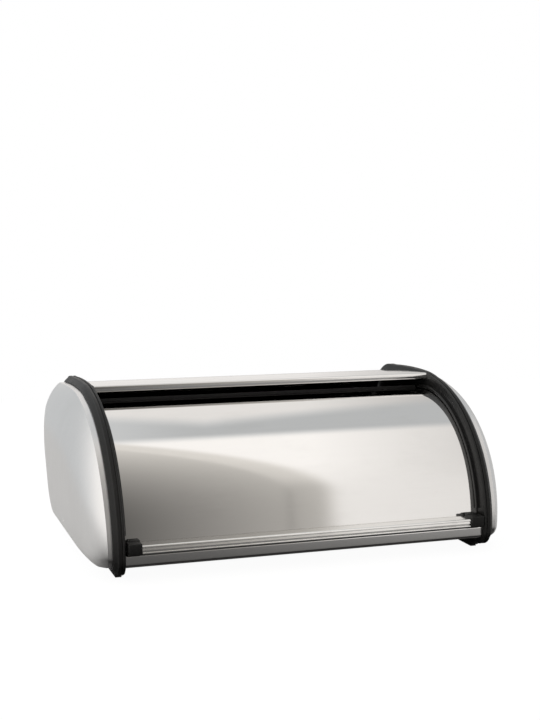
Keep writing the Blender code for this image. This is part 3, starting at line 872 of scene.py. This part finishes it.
# %% A pressed dome
DOME_BULGE = 0.0322
DOME_SLOPE = 0.0650
DOME_POWER = 1.78
DOME_EDGE = 0.0068
DOME_RINGS = 22
DOME_START = 0.0030                  # the curve starts this far in, hidden by the skirt
DOME_FIRST = 0.058                   # and at this share of the slope
DOME_BOTTOM = 0.31                   # share of the slope along the bottom
DOME_SOFTEN = 0.30                   # corners grow rounder by this share of the inset
DOME_LEAN = 0.28                     # the dome bulges more towards its top
DOME_WALL = 0.0010
FLANGE_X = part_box("right_end_cap")[0].x


def dome_shell(sign):
    shape = bmesh.new()
    inner = side_outline(OPENING - 0.0005, OPENING_BOTTOM - 0.0005)
    edges = first_ring(shape, inner, sign * FLANGE_X)
    edges = pull_ring(shape, edges, side_outline(DOME_EDGE, DOME_EDGE), sign * FLANGE_X)
    middle = (TOP_Z + BOTTOM_Z) / 2
    for i in range(DOME_RINGS):
        part = 1.0 - math.cos(math.pi / 2 * i / (DOME_RINGS - 1))
        share = DOME_FIRST + (1.0 - DOME_FIRST) * part
        rise = (1.0 - (1.0 - share) ** DOME_POWER) ** (1.0 / DOME_POWER)
        inset = DOME_START + DOME_SLOPE * share
        bottom = max(DOME_EDGE, DOME_START + DOME_BOTTOM * DOME_SLOPE * share)
        outline = side_outline(inset, bottom, DOME_SOFTEN * max(inset - DOME_EDGE, 0.0))
        edges = pull_ring(shape, edges, outline, sign * (RIM_OUT + DOME_BULGE * rise))
    face_y = sum(y for y, z in outline) / len(outline)
    face_z = sum(z for y, z in outline) / len(outline)
    for scale in (0.985, 0.80, 0.50, 0.20):
        smaller = [(face_y + (y - face_y) * scale, face_z + (z - face_z) * scale) for y, z in outline]
        edges = pull_ring(shape, edges, smaller, sign * (RIM_OUT + DOME_BULGE))
    bmesh.ops.edgeloop_fill(shape, edges=edges)
    face_outwards(shape)
    for corner in shape.verts:
        bulge = abs(corner.co.x) - RIM_OUT
        if bulge > 0.0:
            lean_up = DOME_LEAN * (corner.co.z - AXIS_Z - middle) / (TOP_Z - BOTTOM_Z)
            corner.co.x = sign * (RIM_OUT + bulge * (1.0 + lean_up))
    return shape


# %% [markdown]
# Low on each dome is a small pressed dimple, a few millimetres across, where the cap is located
# in its press. A ball cut into the sheet leaves a clean one.

# %% Domes with their dimples
DIMPLE_Y = -0.0120
DIMPLE_Z = 0.0345
DIMPLE_RADIUS = 0.0028
DIMPLE_LIFT = 0.0019                 # the ball stands this far out of the sheet


def surface_at(shape, sign, y, z):
    """Where a line along X, coming from outside, first meets the dome, and its normal there."""
    tree = BVHTree.FromBMesh(shape)
    hit, normal, *_ = tree.ray_cast(Vector((sign * 0.4, y, z)), Vector((-sign, 0.0, 0.0)))
    return hit, normal if normal.x * sign > 0.0 else -normal


def make_dome(side, sign):
    shell = dome_shell(sign)
    skin, outwards = surface_at(shell, sign, DIMPLE_Y, DIMPLE_Z)
    ball = bmesh.new()
    bmesh.ops.create_uvsphere(ball, u_segments=32, v_segments=20, radius=DIMPLE_RADIUS)
    bmesh.ops.translate(ball, verts=ball.verts, vec=skin + outwards * DIMPLE_LIFT)
    shape = cut_or_join(shell, [ball], "DIFFERENCE", wall=DOME_WALL)
    name = side + "_dome"
    new_piece(name, shape, satin_steel, "root", "satin_steel", side + "_end_cap", smooth=25.0)


for side, sign in SIDES:
    make_dome(side, sign)

# %% [markdown]
# ## The bent body
# Lip, floor, back and top are one sheet, bent five times. The sheet's middle line is drawn
# once, pulled across the box, and given its thickness afterwards. The front edge of the top is
# rolled down into a hem, and the lip is rolled inwards so that nobody cuts a finger.

# %% Body sheet
SHEET = 0.0010
BODY_HALF = body_high.x
LIP_Y = body_low.y - AXIS_Y + SHEET / 2
FLOOR_Z = body_low.z - AXIS_Z + SHEET / 2
BODY_BACK = body_high.y - AXIS_Y - SHEET / 2
CROWN = body_high.z - AXIS_Z - SHEET / 2
BODY_TOP = 0.1363
LIP_TOP = 0.0045
HEM_Y = 0.0010
HEM_DROP = 0.0046
LIP_BEND = 0.0016                    # bend radii of the sheet's middle line
FRONT_BEND = 0.0030
REAR_BEND = 0.0300
TOP_BEND = 0.0360
HEM_ROLL = 0.0009
TOP_SHARES = 24                      # the rising top is drawn in this many steps


def body_line():
    """Middle line of the sheet, from the lip's rolled edge round to the hem."""
    line = [(LIP_Y + 0.0062, LIP_TOP - 0.0002)]
    line += arc(LIP_Y + LIP_BEND, LIP_TOP - LIP_BEND, LIP_BEND, 85, 180, 8)
    line += arc(LIP_Y + FRONT_BEND, FLOOR_Z + FRONT_BEND, FRONT_BEND, 180, 270, 9)
    line += arc(BODY_BACK - REAR_BEND, FLOOR_Z + REAR_BEND, REAR_BEND, -90, 0, 17)
    line += arc(BODY_BACK - TOP_BEND, BODY_TOP - TOP_BEND, TOP_BEND, 0, 90, 19)
    top_back, top_front = BODY_BACK - TOP_BEND, HEM_Y + LIP_BEND
    for i in range(1, TOP_SHARES):
        share = i / TOP_SHARES
        swell = (CROWN - BODY_TOP) * math.sin(share * math.pi / 2)
        line.append((top_back + (top_front - top_back) * share, BODY_TOP + swell))
    line += arc(top_front, CROWN - LIP_BEND, LIP_BEND, 90, 180, 9)
    line += arc(HEM_Y + HEM_ROLL, CROWN - HEM_DROP, HEM_ROLL, 180, 330, 7)
    return line


body_shape = bmesh.new()
corners = [body_shape.verts.new((-BODY_HALF, y + AXIS_Y, z + AXIS_Z)) for y, z in body_line()]
fold_edges = [body_shape.edges.new(pair) for pair in zip(corners, corners[1:])]
grown = bmesh.ops.extrude_edge_only(body_shape, edges=fold_edges)["geom"]
far_side_verts = [item for item in grown if isinstance(item, bmesh.types.BMVert)]
bmesh.ops.translate(body_shape, verts=far_side_verts, vec=(2 * BODY_HALF, 0.0, 0.0))
bmesh.ops.recalc_face_normals(body_shape, faces=body_shape.faces)
body_shape = cut_or_join(body_shape, [], "UNION", wall=SHEET, offset=0.0)
new_piece("bent_body", body_shape, body_steel, "root", "polished_steel", "body_sheet")

# %% [markdown]
# ## The lid
# The lid is a plain curved sheet. A short rounded section spun about the axis gives a true
# round surface, which matters on a mirror: any flat step would break the reflections.

# %% Lid sheet
LID_HALF = lid_high.x
LID_START = 2.6
LID_END = 101.0
EDGE = 0.0003
lid_section = [(-LID_HALF, LID_RADIUS - LID_WALL + EDGE), (-LID_HALF, LID_RADIUS - EDGE),
               (-LID_HALF + EDGE, LID_RADIUS), (LID_HALF - EDGE, LID_RADIUS),
               (LID_HALF, LID_RADIUS - EDGE), (LID_HALF, LID_RADIUS - LID_WALL + EDGE),
               (LID_HALF - EDGE, LID_RADIUS - LID_WALL), (-LID_HALF + EDGE, LID_RADIUS - LID_WALL)]
new_piece("rolling_lid", spun(lid_section, LID_START, LID_END, 180), lid_steel,
          "lid", "polished_steel", "lid_sheet", smooth=30.0)

# %% [markdown]
# A black plastic strip runs along the lid's rear edge and closes the gap under the top.

# %% Strip on the rear edge
STRIP_FROM = 97.6                    # degrees up from the front
STRIP_TO = 100.8
strip_low, strip_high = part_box("rear_edge_strip")
strip_section = [(strip_low.x, LID_RADIUS + 0.0003), (strip_low.x, LID_RADIUS + 0.0030),
                 (strip_low.x + 0.0005, LID_RADIUS + 0.0035), (strip_high.x - 0.0005, LID_RADIUS + 0.0035),
                 (strip_high.x, LID_RADIUS + 0.0030), (strip_high.x, LID_RADIUS + 0.0003)]
new_piece("rear_closing_strip", spun(strip_section, STRIP_FROM, STRIP_TO, 10), end_plastic,
          "lid", "black_plastic", "rear_edge_strip", smooth=30.0)

# %% [markdown]
# ## The rail
# The handle is a small aluminium extrusion. Its face has a round bead along the top, a flat
# band that leans back a little, a groove, and a second bead along the lower edge.

# %% Handle rail
RAIL_HALF = rail_high.x
RAIL_FACE = rail_low.y - AXIS_Y
RAIL_BACK = rail_high.y - AXIS_Y
RAIL_LOW = rail_low.z - AXIS_Z
RAIL_TOP = rail_high.z - AXIS_Z


def rail_outline():
    """Section of the extrusion, from its lower back edge round the face to the top."""
    line = [(RAIL_BACK, RAIL_LOW), (RAIL_FACE + 0.0022, RAIL_LOW)]
    line += arc(RAIL_FACE + 0.0013, RAIL_LOW + 0.0013, 0.0013, 260, 110, 11)
    line += [(RAIL_FACE + 0.0019, RAIL_LOW + 0.0027), (RAIL_FACE + 0.0019, RAIL_LOW + 0.0036),
             (RAIL_FACE + 0.0008, RAIL_LOW + 0.0039), (RAIL_FACE + 0.0006, RAIL_LOW + 0.0042),
             (RAIL_FACE + 0.0014, RAIL_LOW + 0.0061)]
    line += arc(RAIL_FACE + 0.0022, RAIL_TOP - 0.0020, 0.0020, 185, 85, 13)
    line += [(RAIL_BACK, RAIL_TOP - 0.0003)]
    return line


new_piece("lift_rail", pushed(rail_outline(), -RAIL_HALF, RAIL_HALF), rail_aluminium,
          "lid", "anodised_aluminium", "handle_rail", smooth=30.0)

# %% [markdown]
# ## Rail ends
# A moulded block closes each end of the rail. A tab behind it lies on the lid, and the block's
# underside rests on the body's lip when the lid is closed.

# %% Rail end blocks
BLOCK_BACK = -0.1316                 # back face of the block, from the axis
TAB_FRONT = -0.1340
TAB_LOW = 0.0105
TAB_WIDTH = 0.0104


def make_rail_end(side, sign):
    low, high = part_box(side + "_rail_end")
    block_top = high.z - 0.0008
    body_block = block(low, (high.x, AXIS_Y + BLOCK_BACK, block_top), 0.0010)
    inner_x = low.x if sign > 0 else high.x
    near, far = sorted((inner_x, inner_x + sign * TAB_WIDTH))
    tab_back = AXIS_Y - LID_RADIUS - 0.0003
    tab = block((near, AXIS_Y + TAB_FRONT, AXIS_Z + TAB_LOW), (far, tab_back, high.z), 0.0006)
    shape = cut_or_join(body_block, [tab], "UNION")
    name = side + "_rail_stop"
    new_piece(name, shape, end_plastic, "lid", "black_plastic", side + "_rail_end")


for side, sign in SIDES:
    make_rail_end(side, sign)

# %% [markdown]
# ## Small hardware
# Screws with a cross recess hold the domes and the rail, and domed rivets hold the body to the
# feet. Each head is a short profile turned on its axis; the recess is two crossed bars cut
# out. The CAD node's box says where each one sits.

# %% Screws and rivets
def turned(profile, steps=32):
    """Turn (radius, height) pairs about Z."""
    shape = bmesh.new()
    line = [shape.verts.new((radius, 0.0, height)) for radius, height in profile]
    edges = [shape.edges.new(pair) for pair in zip(line, line[1:])]
    bmesh.ops.spin(shape, geom=line + edges, cent=(0, 0, 0), axis=(0, 0, 1),
                   angle=math.tau, steps=steps, use_merge=True)
    bmesh.ops.remove_doubles(shape, verts=shape.verts, dist=0.000002)
    face_outwards(shape)
    return shape


def screw_shape(length):
    """A pan-head screw that stands on its head's seat at z = 0, with a cross recess."""
    profile = [(0.0, 0.0017), (0.0012, 0.0017), (0.0021, 0.0015), (0.0027, 0.0011), (0.0030, 0.0006),
               (0.0031, 0.0001), (0.0013, 0.0000), (0.0013, -length + 0.0010), (0.0, -length)]
    bars = [block((-0.0017, -0.0003, 0.0008), (0.0017, 0.0003, 0.0030), 0.0001, 1),
            block((-0.0003, -0.0017, 0.0008), (0.0003, 0.0017, 0.0030), 0.0001, 1)]
    return cut_or_join(turned(profile), bars, "DIFFERENCE")


def turn_to(shape, direction, place):
    """Point the shape's +Z along a direction and put its origin at a place."""
    matrix = Vector((0.0, 0.0, 1.0)).rotation_difference(Vector(direction)).to_matrix()
    bmesh.ops.rotate(shape, verts=shape.verts, cent=(0, 0, 0), matrix=matrix)
    bmesh.ops.translate(shape, verts=shape.verts, vec=place)
    return shape


def make_hardware():
    for side, sign in SIDES:
        for number in range(1, 5):
            node = f"{side}_cap_screw_{number}"
            low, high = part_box(node)
            seat = Vector((sign * (RIM_IN - 0.0002), (low.y + high.y) / 2, (low.z + high.z) / 2))
            shape = turn_to(screw_shape(0.0076), (-sign, 0.0, 0.0), seat)
            new_piece(f"{side}_frame_screw_{number}", shape, zinc_steel, "root", "zinc_steel", node)
        for end in ("front", "rear"):
            node = f"{side}_{end}_base_rivet"
            low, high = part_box(node)
            dome = [(0.0, 0.0014), (0.0010, 0.00132), (0.0018, 0.0011), (0.0025, 0.0007),
                    (0.0028, 0.0002), (0.0013, 0.0001), (0.0013, -0.0040), (0.0, -0.0040)]
            middle = ((low.x + high.x) / 2, (low.y + high.y) / 2, high.z - 0.0014)
            shape = turn_to(turned(dome), (0.0, 0.0, 1.0), middle)
            new_piece(f"{side}_{end}_floor_rivet", shape, zinc_steel, "root", "zinc_steel", node)
    for label in ("left", "middle", "right"):
        low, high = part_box(label + "_rail_screw")
        seat = ((low.x + high.x) / 2, AXIS_Y - LID_RADIUS + LID_WALL + 0.0003, (low.z + high.z) / 2)
        shape = turn_to(screw_shape(0.0082), (0.0, 1.0, 0.0), seat)
        new_piece(label + "_lid_screw", shape, zinc_steel, "lid", "zinc_steel", label + "_rail_screw")


make_hardware()

# %% [markdown]
# The foot pads are thin rubber with grooves across their soles, and the glides are slim plastic
# strips that ride in the groove behind the lid's rear corners.

# %% Foot pads and glides
def grooved_pad(low, high):
    """A pad with three grooves in its sole, drawn as a section and pushed along X."""
    edge, depth, width = 0.0002, 0.0004, 0.0012
    y0, y1, z0, z1 = low.y - AXIS_Y, high.y - AXIS_Y, low.z - AXIS_Z, high.z - AXIS_Z
    line = [(y0, z1), (y0, z0 + edge), (y0 + edge, z0)]
    for share in (0.25, 0.50, 0.75):
        middle = y0 + (y1 - y0) * share
        line += [(middle - width / 2, z0), (middle - width / 2, z0 + depth),
                 (middle + width / 2, z0 + depth), (middle + width / 2, z0)]
    line += [(y1 - edge, z0), (y1, z0 + edge), (y1, z1)]
    return pushed(line, low.x, high.x)


def make_pads_and_glides():
    for side, sign in SIDES:
        for end in ("front", "rear"):
            node = f"{side}_{end}_foot_pad"
            shape = grooved_pad(*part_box(node))
            new_piece(f"{side}_{end}_rubber_pad", shape, foot_rubber, "root", "black_rubber", node)
        node = side + "_lid_glide"
        low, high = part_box(node)
        outer = LID_RADIUS - LID_WALL - 0.0003
        soft = 0.0004
        section = [(low.x, outer), (low.x, outer - 0.0018), (low.x + soft, outer - 0.0022),
                   (high.x - soft, outer - 0.0022), (high.x, outer - 0.0018), (high.x, outer)]
        shape = spun(section, LID_END - 9.0, LID_END - 0.4, 12)
        new_piece(side + "_groove_glide", shape, end_plastic, "lid", "black_plastic", node)


make_pads_and_glides()
